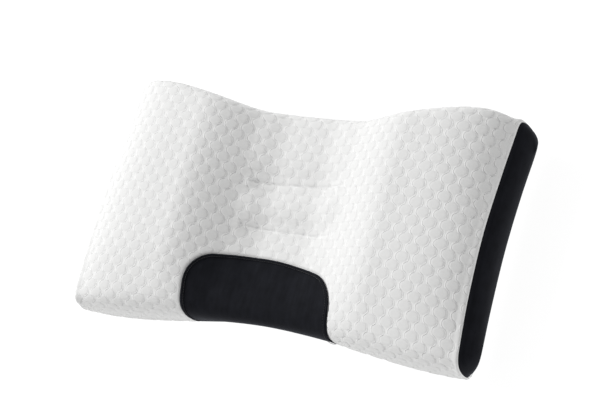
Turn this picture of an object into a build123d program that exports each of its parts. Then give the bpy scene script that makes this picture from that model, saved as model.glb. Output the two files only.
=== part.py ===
from build123d import *
import os
from math import ceil, cos, pi, sin, sqrt

# Butterfly cervical pillow: high side lobes, a low valley for the head and neck, a black
# neck panel in the front edge and a black gusset at each end. Millimetres.
# X runs along the pillow, -Y is the neck (front) edge, +Y the back edge, +Z is up.
# The origin is the centre of the footprint, on the surface that the pillow lies on.

# ---------------------------------------------------------------- driving dimensions
SEAM_HALF_WIDTH = 341.5      # centre to each end seam
GUSSET_BULGE = 17.5          # how far each end panel domes beyond its seam
HALF_DEPTH = 202.0           # centre line to the front and back edges, at the ends
FRONT_DIP = 22.0             # how far the neck edge curves in at the middle
BACK_DIP = 29.0              # how far the back edge curves in at the middle
BACK_STRAIGHT = 0.22         # share of the half width over which the back edge is straight
BACK_FULL = 0.86             # and where it is full depth
BACK_CORNER = 7.0            # how far the back edge draws in again at the end seams
EQUATOR_Z = 56.0             # height of the widest line of the section
FRONT_ROUNDNESS = 12.0       # superellipse exponents of the two edges
BACK_ROUNDNESS = 18.0
END_SQUARER = 16.0           # added to both exponents at the ends

# Heights above the equator line at five stations from the front edge to the back edge.
VALLEY_TOP = (27, 17, 22, 34, 36)
LOBE_TOP = (46, 70, 79, 85, 85)
END_TOP = (36, 45, 49, 44, 42)
LOBE_START = 0.09            # shares of the half width: where the lobe begins to rise,
LOBE_FULL = 0.55            # where it is full height,
SHOULDER_START = 0.65        # and where it starts to fall to the end seam
SHOULDER_POWER = 2.4
SHOULDER_REACH = 0.96        # how much of a full quarter round the shoulder turns through

# Depths below the equator line. The lobes reach past the floor and are pressed flat by it.
MIDDLE_BASE = 37.0
LOBE_BASE = 59.0
END_BASE = 31.0
LOBE_BASE_AT = 0.7           # share of the half width where the base is deepest

COVER = 4.0                  # quilted cover thickness
LAYER_GAP = 0.5              # clearance between the cover and what it holds
CLOTH = 1.0                  # baffle cloth thickness

SEAM_FRONT_Z = 24.0          # height of the cover seam at the front edge

BAFFLE_X = 78.0              # side baffles
CREASE_BACK_Y = 47.0         # sewn partition lines
CREASE_FRONT_Y = -29.0

PANEL_HALF_WIDTH = 132.0     # neck panel, in plan
PANEL_MIDDLE_X = -8.0
PANEL_MIDDLE_Y = -76.0
PANEL_CORNER_Y = -101.0
PANEL_CORNER_RADIUS = 38.0

STITCH_LENGTH = 3.4
STITCH_PITCH = 6.0
STITCH_RADIUS = 0.45
TOPSTITCH_INSET = 5.0

ZIP_HALF_LENGTH = 100.0
TAPE_WIDTH = 12.0
TAPE_THICK = 0.9
TAPE_GAP = 1.2               # between the two tapes
TAPE_SINK = 1.6              # tape face below the cover's outer face
TOOTH_PITCH = 2.8
TOOTH_LENGTH = 1.1           # along the zip
TOOTH_REACH = 0.9            # past the zip's centre line
TOOTH_ROOT = 2.9             # the other end of a tooth, over its tape
TOOTH_HEIGHT = 2.0
SLIDER_LENGTH = 10.0
SLIDER_HALF_WIDTH = 4.6
SLIDER_PLATE = 1.2
SLIDER_GAP = 0.3
SLIDER_REST_X = 93.0         # closed end
PULL_LENGTH = 22.0
PULL_WIDTH = 6.0
PULL_THICK = 1.2
PULL_BAR_RADIUS = 0.75
STOP_LENGTH = 2.4
STOP_HEIGHT = 2.2

LABEL_X = -138.0
LABEL_WIDTH = 32.0
LABEL_DROP = 26.0
LABEL_THICK = 0.8

BEYOND = 400.0               # past every edge of the pillow, for cutting shapes
SECTION_SHARES = (0.0, 0.16, 0.32, 0.48, 0.64, 0.8, 0.9, 0.96, 1.0)
SECTION_POINTS = 24


# ---------------------------------------------------------------- the pillow's form
def smooth(t):
    t = min(max(t, 0.0), 1.0)
    return t * t * (3.0 - 2.0 * t)


def along(stations, v):
    """Smooth curve through five evenly spaced stations, v from -1 to 1."""
    place = min(max((v + 1.0) * 2.0, 0.0), 4.0)
    i = min(int(place), 3)
    t = place - i
    a = stations[max(i - 1, 0)]
    b = stations[i]
    c = stations[i + 1]
    d = stations[min(i + 2, 4)]
    return b + 0.5 * t * (c - a + t * (2 * a - 5 * b + 4 * c - d + t * (3 * (b - c) + d - a)))


def shoulder(t):
    """Share of the fall from a lobe to its end seam: gentle at first, steep at the seam."""
    turned = 1.0 - sqrt(1.0 - (SHOULDER_REACH * t) ** SHOULDER_POWER)
    return turned / (1.0 - sqrt(1.0 - SHOULDER_REACH**SHOULDER_POWER))


def top_height(u, v):
    """Height above the equator, before the edges are rounded off."""
    share = abs(u)
    rise = smooth((share - LOBE_START) / (LOBE_FULL - LOBE_START))
    fall = max(share - SHOULDER_START, 0.0) / (1.0 - SHOULDER_START)
    inside = along(VALLEY_TOP, v) * (1.0 - rise) + along(LOBE_TOP, v) * rise
    return inside + (along(END_TOP, v) - inside) * shoulder(fall)


def base_depth(u):
    share = abs(u)
    if share < LOBE_BASE_AT:
        return MIDDLE_BASE + (LOBE_BASE - MIDDLE_BASE) * sin(share / LOBE_BASE_AT * pi / 2) ** 2
    past = (share - LOBE_BASE_AT) / (1.0 - LOBE_BASE_AT)
    return END_BASE + (LOBE_BASE - END_BASE) * sqrt(max(1.0 - past**2, 0.0))


def front_reach(u):
    return HALF_DEPTH - FRONT_DIP * cos(abs(u) * pi / 2) ** 2


def back_reach(u):
    swept = smooth((abs(u) - BACK_STRAIGHT) / (BACK_FULL - BACK_STRAIGHT))
    corner = smooth((abs(u) - BACK_FULL) / (1.0 - BACK_FULL))
    return HALF_DEPTH - BACK_DIP * (1.0 - swept) - BACK_CORNER * corner


def roundness(edge, u):
    return edge + END_SQUARER * u**2


def section_point(u, turn, inset=0.0):
    """Point of the section at share u; turn 0 is the back edge, half a circle the front."""
    v = cos(turn)
    if v >= 0:
        reach, power = back_reach(u), roundness(BACK_ROUNDNESS, u)
    else:
        reach, power = front_reach(u), roundness(FRONT_ROUNDNESS, u)
    round_off = sqrt(1.0 - abs(v) ** power)
    if sin(turn) >= 0:
        return v * (reach - inset), EQUATOR_Z + round_off * (top_height(u, v) - inset)
    return v * (reach - inset), EQUATOR_Z - round_off * (base_depth(u) - inset)


def section_wire(x, u, inset, flatten=1.0, shorten=1.0):
    middle = EQUATOR_Z + (top_height(u, 0.0) - base_depth(u)) / 2
    points = []
    for i in range(SECTION_POINTS):
        y, z = section_point(u, 2 * pi * i / SECTION_POINTS, inset)
        points.append((x, y * shorten, middle + (z - middle) * flatten))
    even = [i / SECTION_POINTS for i in range(SECTION_POINTS + 1)]
    return Wire([Edge.make_spline(points, periodic=True, parameters=even)])


def envelope(inset):
    """The pillow's body between its two end seams, pressed flat where it rests."""
    shares = [-s for s in SECTION_SHARES[:0:-1]] + list(SECTION_SHARES)
    wires = [section_wire(u * SEAM_HALF_WIDTH, u, inset) for u in shares]
    body = Solid.make_loft(wires)
    return body - block(-BEYOND, BEYOND, -BEYOND, BEYOND, inset - BEYOND, inset)


def dome(inset):
    """The bulge of the right end panel, from its seam plane outwards."""
    bulge = GUSSET_BULGE - inset
    wires = []
    for share in (0.0, 0.35, 0.65, 0.86, 0.97):
        flatten = sqrt(1.0 - share)
        shorten = (1.0 - share**2) ** (1.0 / FRONT_ROUNDNESS)
        wires.append(section_wire(SEAM_HALF_WIDTH + share * bulge, 1.0, inset, flatten, shorten))
    return Solid.make_loft(wires)


# ---------------------------------------------------------------- cutting shapes
ZIP_FACE_Y = back_reach(0.0) - TAPE_SINK     # outer face of the zip tapes
ZIP_Z = EQUATOR_Z                            # the zip's centre line


def seam_cutter():
    """Everything below the cover seam, a plane that rises from the front edge to the zip."""
    run = HALF_DEPTH + ZIP_FACE_Y
    slope = (ZIP_Z - SEAM_FRONT_Z) / run
    outline = Polyline(
        (-BEYOND, SEAM_FRONT_Z - slope * (BEYOND - HALF_DEPTH)),
        (BEYOND, ZIP_Z + slope * (BEYOND - ZIP_FACE_Y)),
        (BEYOND, -BEYOND),
        (-BEYOND, -BEYOND),
        close=True,
    )
    profile = Plane.YZ * make_face(outline)
    return extrude(profile, amount=BEYOND, both=True)


def panel_outline(inset=0.0):
    """Plan of the neck panel: a wide tongue with a bowed inner edge and round corners."""
    left = PANEL_MIDDLE_X - PANEL_HALF_WIDTH + inset
    right = PANEL_MIDDLE_X + PANEL_HALF_WIDTH - inset
    corner_y = PANEL_CORNER_Y - inset
    edge = ThreePointArc(
        (left, corner_y), (PANEL_MIDDLE_X, PANEL_MIDDLE_Y - inset), (right, corner_y)
    )
    sides = Polyline((right, corner_y), (right, -BEYOND), (left, -BEYOND), (left, corner_y))
    tongue = make_face(edge + sides)
    corners = tongue.vertices().group_by(Axis.Y)[-1]
    return fillet(corners, PANEL_CORNER_RADIUS - inset)


def block(x0, x1, y0, y1, z0, z1):
    size = Box(x1 - x0, y1 - y0, z1 - z0)
    return Pos((x0 + x1) / 2, (y0 + y1) / 2, (z0 + z1) / 2) * size


# ---------------------------------------------------------------- stitches
def stitch(point, direction):
    """One lockstitch: a short length of thread along the seam."""
    return Plane(origin=point, z_dir=direction) * Cylinder(STITCH_RADIUS, STITCH_LENGTH)


def stitch_row(points):
    """Stitches at an even pitch along a line of closely spaced points."""
    row = []
    travelled, due = 0.0, STITCH_PITCH / 2
    for a, b in zip(points, points[1:]):
        step = (Vector(*b) - Vector(*a)).length
        while due <= travelled + step:
            place = Vector(*a) + (Vector(*b) - Vector(*a)) * ((due - travelled) / step)
            row.append(stitch(place, Vector(*b) - Vector(*a)))
            due += STITCH_PITCH
        travelled += step
    return Compound(children=row)


def top_z(x, y):
    u = x / SEAM_HALF_WIDTH
    if y >= 0:
        reach, power = back_reach(u), roundness(BACK_ROUNDNESS, u)
    else:
        reach, power = front_reach(u), roundness(FRONT_ROUNDNESS, u)
    v = min(abs(y) / reach, 1.0)
    round_off = sqrt(1.0 - v**power)
    return EQUATOR_Z + top_height(u, v if y >= 0 else -v) * round_off


def crease_row(y):
    end = BAFFLE_X - 4.0
    steps = 60
    xs = [-end + 2 * end * i / steps for i in range(steps + 1)]
    return stitch_row([(x, y, top_z(x, y)) for x in xs])


def topstitch_row():
    """Up the front wall, round the panel's tongue on top, and down the other side."""
    line = panel_outline(TOPSTITCH_INSET).wires()[0]
    shoulder_y = -150.0          # where the rows leave the top face for the front wall
    # the part of the outline on the top face, in order from the left side to the right
    samples = [line.position_at(i / 1200) for i in range(1200)]
    samples = [p for p in samples if p.Y > shoulder_y]
    gap = max(range(len(samples)), key=lambda i: (samples[i] - samples[i - 1]).length)
    samples = samples[gap:] + samples[:gap]
    if samples[0].X > 0:
        samples.reverse()
    top = [(p.X, p.Y, top_z(p.X, p.Y)) for p in samples]
    sides = []
    for x in (samples[0].X, samples[-1].X):
        wall = []
        for i in range(200):
            y, z = section_point(x / SEAM_HALF_WIDTH, pi - pi * 0.5 * (i / 199) + 0.35)
            if y < shoulder_y and z > SEAM_FRONT_Z + 6.0:
                wall.append((x, y, z))
        sides.append(wall)
    return stitch_row(sides[0] + top + sides[1][::-1])


# ---------------------------------------------------------------- zip
def tape(side):
    near, far = TAPE_GAP / 2, TAPE_GAP / 2 + TAPE_WIDTH
    z0, z1 = (ZIP_Z + near, ZIP_Z + far) if side > 0 else (ZIP_Z - far, ZIP_Z - near)
    end = ZIP_HALF_LENGTH + 3
    return block(-end, end, ZIP_FACE_Y - TAPE_THICK, ZIP_FACE_Y, z0, z1)


def teeth(side):
    """Teeth on one tape; the two sides stand half a pitch apart, so that they mesh."""
    count = ceil((SLIDER_REST_X - SLIDER_LENGTH / 2 + ZIP_HALF_LENGTH - 6) / TOOTH_PITCH)
    row = []
    for i in range(count):
        x = -ZIP_HALF_LENGTH + 5 + (i + (0.5 if side > 0 else 0.0)) * TOOTH_PITCH
        z = ZIP_Z + side * (TOOTH_ROOT - TOOTH_REACH) / 2
        tooth = Box(TOOTH_LENGTH, TOOTH_HEIGHT, TOOTH_ROOT + TOOTH_REACH)
        tooth = fillet(tooth.edges().filter_by(Axis.Z), 0.35)
        row.append(Pos(x, ZIP_FACE_Y + TOOTH_HEIGHT / 2, z) * tooth)
    return Compound(children=row)


def end_stop(x):
    stop = Box(STOP_LENGTH, STOP_HEIGHT, 2 * TOOTH_ROOT)
    stop = fillet(stop.edges().filter_by(Axis.Z), 0.5)
    return Pos(x, ZIP_FACE_Y + STOP_HEIGHT / 2, ZIP_Z) * stop


PIN_Y = ZIP_FACE_Y + TOOTH_HEIGHT + SLIDER_GAP + SLIDER_PLATE + 1.3   # pull tab's hinge line


def slider():
    """Two plates joined by a thin web between the tapes, side walls and a bridge for the pull."""
    x0, x1 = SLIDER_REST_X - SLIDER_LENGTH / 2, SLIDER_REST_X + SLIDER_LENGTH / 2
    z0, z1 = ZIP_Z - SLIDER_HALF_WIDTH, ZIP_Z + SLIDER_HALF_WIDTH
    outer_y = ZIP_FACE_Y + TOOTH_HEIGHT + SLIDER_GAP
    inner_y = ZIP_FACE_Y - TAPE_THICK - SLIDER_GAP
    outer = block(x0, x1, outer_y, outer_y + SLIDER_PLATE, z0, z1)
    inner = block(x0, x1, inner_y - SLIDER_PLATE, inner_y, z0, z1)
    outer = fillet(outer.edges().filter_by(Axis.Y), 1.6)
    inner = fillet(inner.edges().filter_by(Axis.Y), 1.6)
    body = outer + inner
    web = block(x1 - 2.2, x1 - 0.5, inner_y, outer_y, ZIP_Z - 0.3, ZIP_Z + 0.3)
    body += web
    for side in (-1, 1):
        wall_z = ZIP_Z + side * (SLIDER_HALF_WIDTH - 0.6)
        wall = block(
            x0 + 1.6, x1 - 1.6, ZIP_FACE_Y + SLIDER_GAP + 0.1, outer_y, wall_z - 0.6, wall_z + 0.6
        )
        body += wall
    top = outer_y + SLIDER_PLATE
    bridge = block(SLIDER_REST_X - 3.6, SLIDER_REST_X + 3.6, top, top + 3.4, ZIP_Z - 1.1, ZIP_Z + 1.1)
    bridge = fillet(bridge.edges().filter_by(Axis.Z).group_by(Axis.Y)[-1], 1.4)
    tunnel = block(SLIDER_REST_X - 2.3, SLIDER_REST_X + 2.3, top, top + 2.2, ZIP_Z - 2, ZIP_Z + 2)
    return body + (bridge - tunnel)


def pull():
    """Flat tab with a round bar through the slider's bridge, lying along the zip."""
    bar = Pos(SLIDER_REST_X, PIN_Y, ZIP_Z) * Cylinder(PULL_BAR_RADIUS, PULL_WIDTH)
    x1 = SLIDER_REST_X - 4.6
    x0 = SLIDER_REST_X - PULL_LENGTH
    lift = PULL_THICK / 2
    tab = block(x0, x1, PIN_Y - lift, PIN_Y + lift, ZIP_Z - PULL_WIDTH / 2, ZIP_Z + PULL_WIDTH / 2)
    tab = fillet(tab.edges().filter_by(Axis.Y).group_by(Axis.X)[0], 2.4)
    tab -= Pos(x0 + 4.0, PIN_Y, ZIP_Z) * Rot(90, 0, 0) * Cylinder(1.2, 4)
    arms = tab + bar
    for side in (-1, 1):
        z = ZIP_Z + side * (PULL_WIDTH / 2 - 0.7)
        arms += block(x1, SLIDER_REST_X, PIN_Y - lift, PIN_Y + lift, z - 0.7, z + 0.7)
    return arms


def care_label():
    """Blank folded tab sewn into the back seam, hanging against the wall beside the zip."""
    u = LABEL_X / SEAM_HALF_WIDTH
    step = 5.0
    lean = (back_reach(u) - back_reach((LABEL_X + step) / SEAM_HALF_WIDTH)) / step
    angle = -lean * 180 / pi
    tab = Box(LABEL_WIDTH, LABEL_THICK, LABEL_DROP)
    tab = fillet(tab.edges().filter_by(Axis.Y).group_by(Axis.Z)[0], 2.0)
    middle = ZIP_Z - LABEL_DROP / 2 - 2
    return Pos(LABEL_X, back_reach(u) + 0.7, middle) * Rot(0, 0, angle) * tab


# ---------------------------------------------------------------- assembly
def build():
    outer = envelope(0.0)
    cavity = envelope(COVER)
    stuffing = envelope(COVER + LAYER_GAP)
    below_seam = seam_cutter()
    tongue = extrude(panel_outline(), amount=BEYOND)
    end = ZIP_HALF_LENGTH + 3
    zip_slot = block(-end, end, 0, BEYOND, ZIP_Z - 6, ZIP_Z + 6)
    zip_space = block(-end - 1, end + 1, ZIP_FACE_Y - 4.5, BEYOND, ZIP_Z - 8, ZIP_Z + 8)
    tapes = {"zip_tape_upper": tape(1), "zip_tape_lower": tape(-1)}

    cover = outer - cavity
    above = cover - below_seam
    nodes = {
        "cover_top": above - tongue - zip_slot - tapes["zip_tape_upper"],
        "cover_base": (cover & below_seam) - zip_slot - tapes["zip_tape_lower"],
        "neck_panel": above & tongue,
    }

    right_gusset = dome(0.0) - dome(COVER)
    nodes["gusset_right"] = right_gusset
    nodes["gusset_left"] = right_gusset.mirror(Plane.YZ)

    stuffing -= zip_space
    cloth = CLOTH / 2
    gap = cloth + LAYER_GAP / 2
    right_fill = stuffing & block(BAFFLE_X + gap, BEYOND, -BEYOND, BEYOND, -BEYOND, BEYOND)
    right_fill += dome(COVER + LAYER_GAP)
    nodes["fill_right"] = right_fill
    nodes["fill_left"] = right_fill.mirror(Plane.YZ)
    inner_x = BAFFLE_X - gap
    for name, y0, y1 in (
        ("fill_back", CREASE_BACK_Y + gap, BEYOND),
        ("fill_middle", CREASE_FRONT_Y + gap, CREASE_BACK_Y - gap),
        ("fill_neck_roll", -BEYOND, CREASE_FRONT_Y - gap),
    ):
        nodes[name] = stuffing & block(-inner_x, inner_x, y0, y1, -BEYOND, BEYOND)
    for name, side in (("baffle_left", -1), ("baffle_right", 1)):
        x = side * BAFFLE_X
        wall = block(x - cloth, x + cloth, -BEYOND, BEYOND, -BEYOND, BEYOND)
        nodes[name] = stuffing & wall
    for name, y in (("baffle_back", CREASE_BACK_Y), ("baffle_front", CREASE_FRONT_Y)):
        wall = block(-inner_x, inner_x, y - cloth, y + cloth, -BEYOND, BEYOND)
        nodes[name] = stuffing & wall

    nodes["crease_stitch_back"] = crease_row(CREASE_BACK_Y)
    nodes["crease_stitch_front"] = crease_row(CREASE_FRONT_Y)
    nodes["neck_topstitch"] = topstitch_row()

    nodes.update(tapes)
    nodes["zip_teeth_upper"] = teeth(1)
    nodes["zip_teeth_lower"] = teeth(-1)
    nodes["zip_bottom_stop"] = end_stop(-ZIP_HALF_LENGTH + 0.5)
    nodes["zip_top_stop"] = end_stop(ZIP_HALF_LENGTH)
    nodes["zip_slider"] = slider()
    nodes["zip_pull"] = pull()
    nodes["care_label"] = care_label()
    return nodes


os.makedirs("parts", exist_ok=True)
for node, shape in build().items():
    export_step(shape, f"parts/{node}.step")
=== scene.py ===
"""Looks of the butterfly cervical pillow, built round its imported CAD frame. Metres."""

import math

import bmesh
import bpy
import numpy as np
from mathutils import Matrix, Vector


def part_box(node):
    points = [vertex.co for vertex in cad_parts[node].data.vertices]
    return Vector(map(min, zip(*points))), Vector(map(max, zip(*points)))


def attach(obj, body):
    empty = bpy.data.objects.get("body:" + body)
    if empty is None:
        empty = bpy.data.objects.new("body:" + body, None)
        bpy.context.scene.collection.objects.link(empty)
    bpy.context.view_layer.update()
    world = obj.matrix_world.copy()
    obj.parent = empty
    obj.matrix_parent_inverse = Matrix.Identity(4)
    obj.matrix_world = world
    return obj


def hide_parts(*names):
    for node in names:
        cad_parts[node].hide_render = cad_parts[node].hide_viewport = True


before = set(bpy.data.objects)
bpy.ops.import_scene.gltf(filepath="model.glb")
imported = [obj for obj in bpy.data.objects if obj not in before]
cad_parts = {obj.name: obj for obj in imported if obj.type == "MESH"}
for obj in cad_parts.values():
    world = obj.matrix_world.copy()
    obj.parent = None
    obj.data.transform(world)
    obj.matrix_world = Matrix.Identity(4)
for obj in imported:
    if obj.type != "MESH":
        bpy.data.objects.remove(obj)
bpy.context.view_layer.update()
MM = 0.001

# ---------------------------------------------------------------- sizes taken from the frame
cover_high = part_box("cover_top")[1]
SEAM_X = cover_high.x
HALF_DEPTH = cover_high.y
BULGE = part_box("gusset_right")[1].x - SEAM_X
ZIP_Z = (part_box("zip_tape_upper")[0].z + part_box("zip_tape_lower")[1].z) / 2
ZIP_END_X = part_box("zip_tape_upper")[1].x
EQUATOR_Z = ZIP_Z
panel_low, panel_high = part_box("neck_panel")
PANEL_TRIM = 2.3 * MM        # makes its right end 4.6 mm shorter than in the CAD
PANEL_X = (panel_high.x - panel_low.x) / 2 - PANEL_TRIM
PANEL_MIDDLE_X = (panel_high.x + panel_low.x) / 2 - PANEL_TRIM
PANEL_INNER_Y = panel_high.y
BAFFLE_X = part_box("baffle_right")[1].x
CREASE_BACK_Y = (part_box("baffle_back")[0].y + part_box("baffle_back")[1].y) / 2
CREASE_FRONT_Y = (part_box("baffle_front")[0].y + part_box("baffle_front")[1].y) / 2

# ---------------------------------------------------------------- the pillow's form
# The same numbers as in the CAD, and the flare, which is only here.
FRONT_DIP = 22 * MM
BACK_DIP = 29 * MM
BACK_STRAIGHT, BACK_FULL = 0.22, 0.86
BACK_CORNER = 7 * MM
FRONT_ROUNDNESS = 12.0
BACK_ROUNDNESS = 18.0
END_SQUARER = 16.0           # added to both at the ends, where the section is boxier
# Five evenly spaced stations, from the front edge to the back edge: the sideways flare of the
# end seams, then heights above the equator.
END_FLARE = np.array((2, -1, -2, 1, 7)) * MM
VALLEY_TOP = np.array((27, 17, 22, 34, 36)) * MM
LOBE_TOP = np.array((46, 70, 79, 85, 85)) * MM
END_TOP = np.array((36, 45, 49, 44, 42)) * MM
LOBE_START, LOBE_FULL = 0.09, 0.55
SHOULDER_START, SHOULDER_POWER, SHOULDER_REACH = 0.65, 2.4, 0.96
MIDDLE_BASE, LOBE_BASE, END_BASE = 37 * MM, 59 * MM, 31 * MM
LOBE_BASE_AT = 0.7
SEAM_FRONT_Z = 24 * MM
PRESSED = 2 * MM             # rounds the rim of the patches pressed flat by the floor

# the sewn lines across the valley
CREASE_TILT = 0.05           # of the back line in plan
CREASE_DEPTH = 5.0 * MM
CHAMBER_PUFF = 11.0 * MM     # rise of the middle chamber above its sewn lines
OUTER_PUFF = 9.0 * MM        # rise of the chambers before and behind it,
OUTER_WIDTH = 18 * MM        # and how soon they reach it

# the neck panel's plan and edge
PANEL_BOW = 25 * MM
PANEL_SKEW = 0.03
PANEL_SHEAR = 0.035          # sideways slant of its two ends in plan,
PANEL_SHEAR_FROM = -125 * MM # from this depth
PANEL_RADIUS = 42 * MM
PANEL_SEAM_INSET = 5 * MM
PANEL_ROLL = 2.2 * MM
PANEL_GROOVE = 1.0 * MM      # depth of the line that the topstitching draws in
PANEL_CROWN = 1.3 * MM       # rise of the cloth inside that line,
PANEL_CROWN_WIDTH = 9 * MM   # and how soon it is reached
PANEL_CALM = 60 * MM         # length over which the rise grows from the front seam

# the quilted bubbles: chains of bulbs joined by necks, neighbours half a step apart
BUBBLE_LONG = 28.2 * MM      # pitch of the bulbs in a chain
BUBBLE_WIDE = 27.9 * MM      # pitch across the pillow, over which two chains lie
BUBBLE_SWING = 0.145         # swing of a chain's half width, as a share of that pitch
BUBBLE_SQUARE = 1.5          # how abruptly a neck widens into a bulb
BUBBLE_STEEP = 0.9           # allowance for the slant of a chain's outline
BUBBLE_NECK = 0.45           # a neck's height against a bulb's
BUBBLE_HEIGHT = 1.35 * MM
BUBBLE_EDGE = 0.6 * MM
BUBBLE_SHIFT = (-0.233, 0.048)   # share of a pitch, along the pillow and round the section

SEAM_TUCK = 1.8 * MM         # how far cloth is drawn in at a seam
ZIP_OPENING = 5.5 * MM       # half the height of the gap in the back seam


def smooth(t):
    t = np.clip(t, 0.0, 1.0)
    return t * t * (3.0 - 2.0 * t)


def along(stations, v):
    """Smooth curve through five evenly spaced stations, v from -1 to 1."""
    place = np.clip((v + 1.0) * 2.0, 0.0, 4.0)
    i = np.minimum(place.astype(int), 3)
    t = place - i
    a = stations[np.maximum(i - 1, 0)]
    b = stations[i]
    c = stations[i + 1]
    d = stations[np.minimum(i + 2, 4)]
    return b + 0.5 * t * (c - a + t * (2 * a - 5 * b + 4 * c - d + t * (3 * (b - c) + d - a)))


def shoulder(t):
    """Share of the fall from a lobe to its end seam: gentle at first, steep at the seam."""
    turned = 1.0 - np.sqrt(1.0 - (SHOULDER_REACH * t) ** SHOULDER_POWER)
    return turned / (1.0 - math.sqrt(1.0 - SHOULDER_REACH**SHOULDER_POWER))


def top_height(u, v):
    """Height of the top above the equator, before the edges are rounded."""
    share = np.abs(u)
    rise = smooth((share - LOBE_START) / (LOBE_FULL - LOBE_START))
    fall = np.clip((share - SHOULDER_START) / (1.0 - SHOULDER_START), 0.0, 1.0)
    inside = along(VALLEY_TOP, v) * (1.0 - rise) + along(LOBE_TOP, v) * rise
    return inside + (along(END_TOP, v) - inside) * shoulder(fall)


def base_depth(u):
    """Depth of the underside below the equator."""
    share = np.abs(u)
    swell = np.sin(np.minimum(share / LOBE_BASE_AT, 1.0) * math.pi / 2) ** 2
    inner = MIDDLE_BASE + (LOBE_BASE - MIDDLE_BASE) * swell
    past = np.maximum(share - LOBE_BASE_AT, 0.0) / (1.0 - LOBE_BASE_AT)
    outer = END_BASE + (LOBE_BASE - END_BASE) * np.sqrt(np.maximum(1.0 - past**2, 0.0))
    return np.where(share < LOBE_BASE_AT, inner, outer)


def front_reach(u):
    """How far the front edge lies from the middle line."""
    return HALF_DEPTH - FRONT_DIP * np.cos(np.abs(u) * math.pi / 2) ** 2


def back_reach(u):
    """How far the back edge lies from the middle line."""
    swept = smooth((np.abs(u) - BACK_STRAIGHT) / (BACK_FULL - BACK_STRAIGHT))
    corner = smooth((np.abs(u) - BACK_FULL) / (1.0 - BACK_FULL))
    return HALF_DEPTH - BACK_DIP * (1.0 - swept) - BACK_CORNER * corner


def crease_y(back, x):
    """Where a sewn line lies in plan."""
    return CREASE_BACK_Y + CREASE_TILT * x if back else np.full_like(x, CREASE_FRONT_Y)


def crease_distance(x, y):
    """Plan distance to the nearer sewn line, or far away past their ends."""
    nearest = np.minimum(np.abs(y - crease_y(True, x)), np.abs(y - crease_y(False, x)))
    return np.hypot(nearest, np.maximum(np.abs(x) - BAFFLE_X, 0.0))


def valley_relief(x, y):
    """Height change in the valley: two sewn lines with the filling crowned on either side."""
    beside = 1.0 - smooth((np.abs(x) - BAFFLE_X * 0.8) / (BAFFLE_X * 0.45))
    middle = (crease_y(True, x) + crease_y(False, x)) / 2
    half = (crease_y(True, x) - crease_y(False, x)) / 2
    past = np.maximum(np.abs(y - middle) - half, 0.0)
    between = CHAMBER_PUFF * np.maximum(1.0 - ((y - middle) / half) ** 2, 0.0)
    beyond = OUTER_PUFF * (1.0 - np.exp(-past / OUTER_WIDTH))
    return beside * (between + beyond - CREASE_DEPTH)


def roundness(edge, u):
    """Exponent of the section's superellipse toward one edge."""
    return edge + END_SQUARER * u**2


def form(u, turn):
    """Points of the pillow's body. turn is 0 at the back edge, pi / 2 on top, pi in front."""
    u, turn = np.broadcast_arrays(u, turn)
    v = np.cos(turn)
    reach = np.where(v >= 0, back_reach(u), front_reach(u))
    power = roundness(np.where(v >= 0, BACK_ROUNDNESS, FRONT_ROUNDNESS), u)
    round_off = np.sqrt(np.maximum(1.0 - np.abs(v) ** power, 0.0))
    x, y = u * SEAM_X, v * reach
    above = top_height(u, v) + valley_relief(x, y)
    height = np.where(np.sin(turn) >= 0, above, -base_depth(u))
    z = EQUATOR_Z + round_off * height
    z = np.where(z > PRESSED, z, PRESSED * np.exp(np.minimum(z / PRESSED - 1.0, 0.0)))
    return np.stack([x + u**3 * along(END_FLARE, v), y, z], -1)


# ---------------------------------------------------------------- small mesh helpers
def normals_of(points, flip=False):
    """Normals at a grid's points."""
    across = np.gradient(points, axis=0)
    down = np.gradient(points, axis=1)
    n = np.cross(across, down)
    n /= np.maximum(np.linalg.norm(n, axis=-1, keepdims=True), 1e-12)
    return -n if flip else n


def lengths_along(points, axis):
    """Length from the first point along one axis of a grid."""
    steps = np.linalg.norm(np.diff(points, axis=axis), axis=-1)
    zero = np.zeros_like(np.take(steps, [0], axis))
    return np.concatenate([zero, np.cumsum(steps, axis=axis)], axis)


def mesh_object(name, points, faces, material, fabric=None):
    """A smooth mesh. fabric holds each point's place on the cloth, for the knit."""
    mesh = bpy.data.meshes.new(name)
    mesh.from_pydata(points.tolist(), [], faces.tolist())
    if fabric is not None:
        layer = mesh.attributes.new("fabric", "FLOAT_VECTOR", "POINT")
        layer.data.foreach_set("vector", fabric.astype(np.float32).ravel())
    mesh.shade_smooth()
    mesh.materials.append(material)
    piece = bpy.data.objects.new(name, mesh)
    bpy.context.scene.collection.objects.link(piece)
    return piece


def grid_faces(rows, columns, flip=False, close=False):
    """Quads over a grid of points numbered row by row; close joins the last column to the first."""
    index = np.arange(rows * columns).reshape(rows, columns)
    right = np.roll(index, -1, axis=1) if close else index[:, 1:]
    left = index if close else index[:, :-1]
    a, b, c, d = left[:-1], right[:-1], right[1:], left[1:]
    return np.stack([a, b, c, d] if not flip else [a, d, c, b], -1)


def grid_object(name, points, material, keep=None, flip=False, fabric=None, close=False):
    """A quad mesh over a grid of points. keep says which cells stay."""
    quads = grid_faces(*points.shape[:2], flip, close)
    quads = quads.reshape(-1, 4) if keep is None else quads[keep]
    used, quads = np.unique(quads, return_inverse=True)
    fabric = None if fabric is None else fabric.reshape(-1, 3)[used]
    return mesh_object(name, points.reshape(-1, 3)[used], quads.reshape(-1, 4), material, fabric)


def weld(piece, distance=0.02 * MM):
    """Joins points that lie together, so that a closed end is one surface."""
    work = bmesh.new()
    work.from_mesh(piece.data)
    bmesh.ops.remove_doubles(work, verts=work.verts, dist=distance)
    work.to_mesh(piece.data)
    work.free()
    piece.data.shade_smooth()


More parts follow.
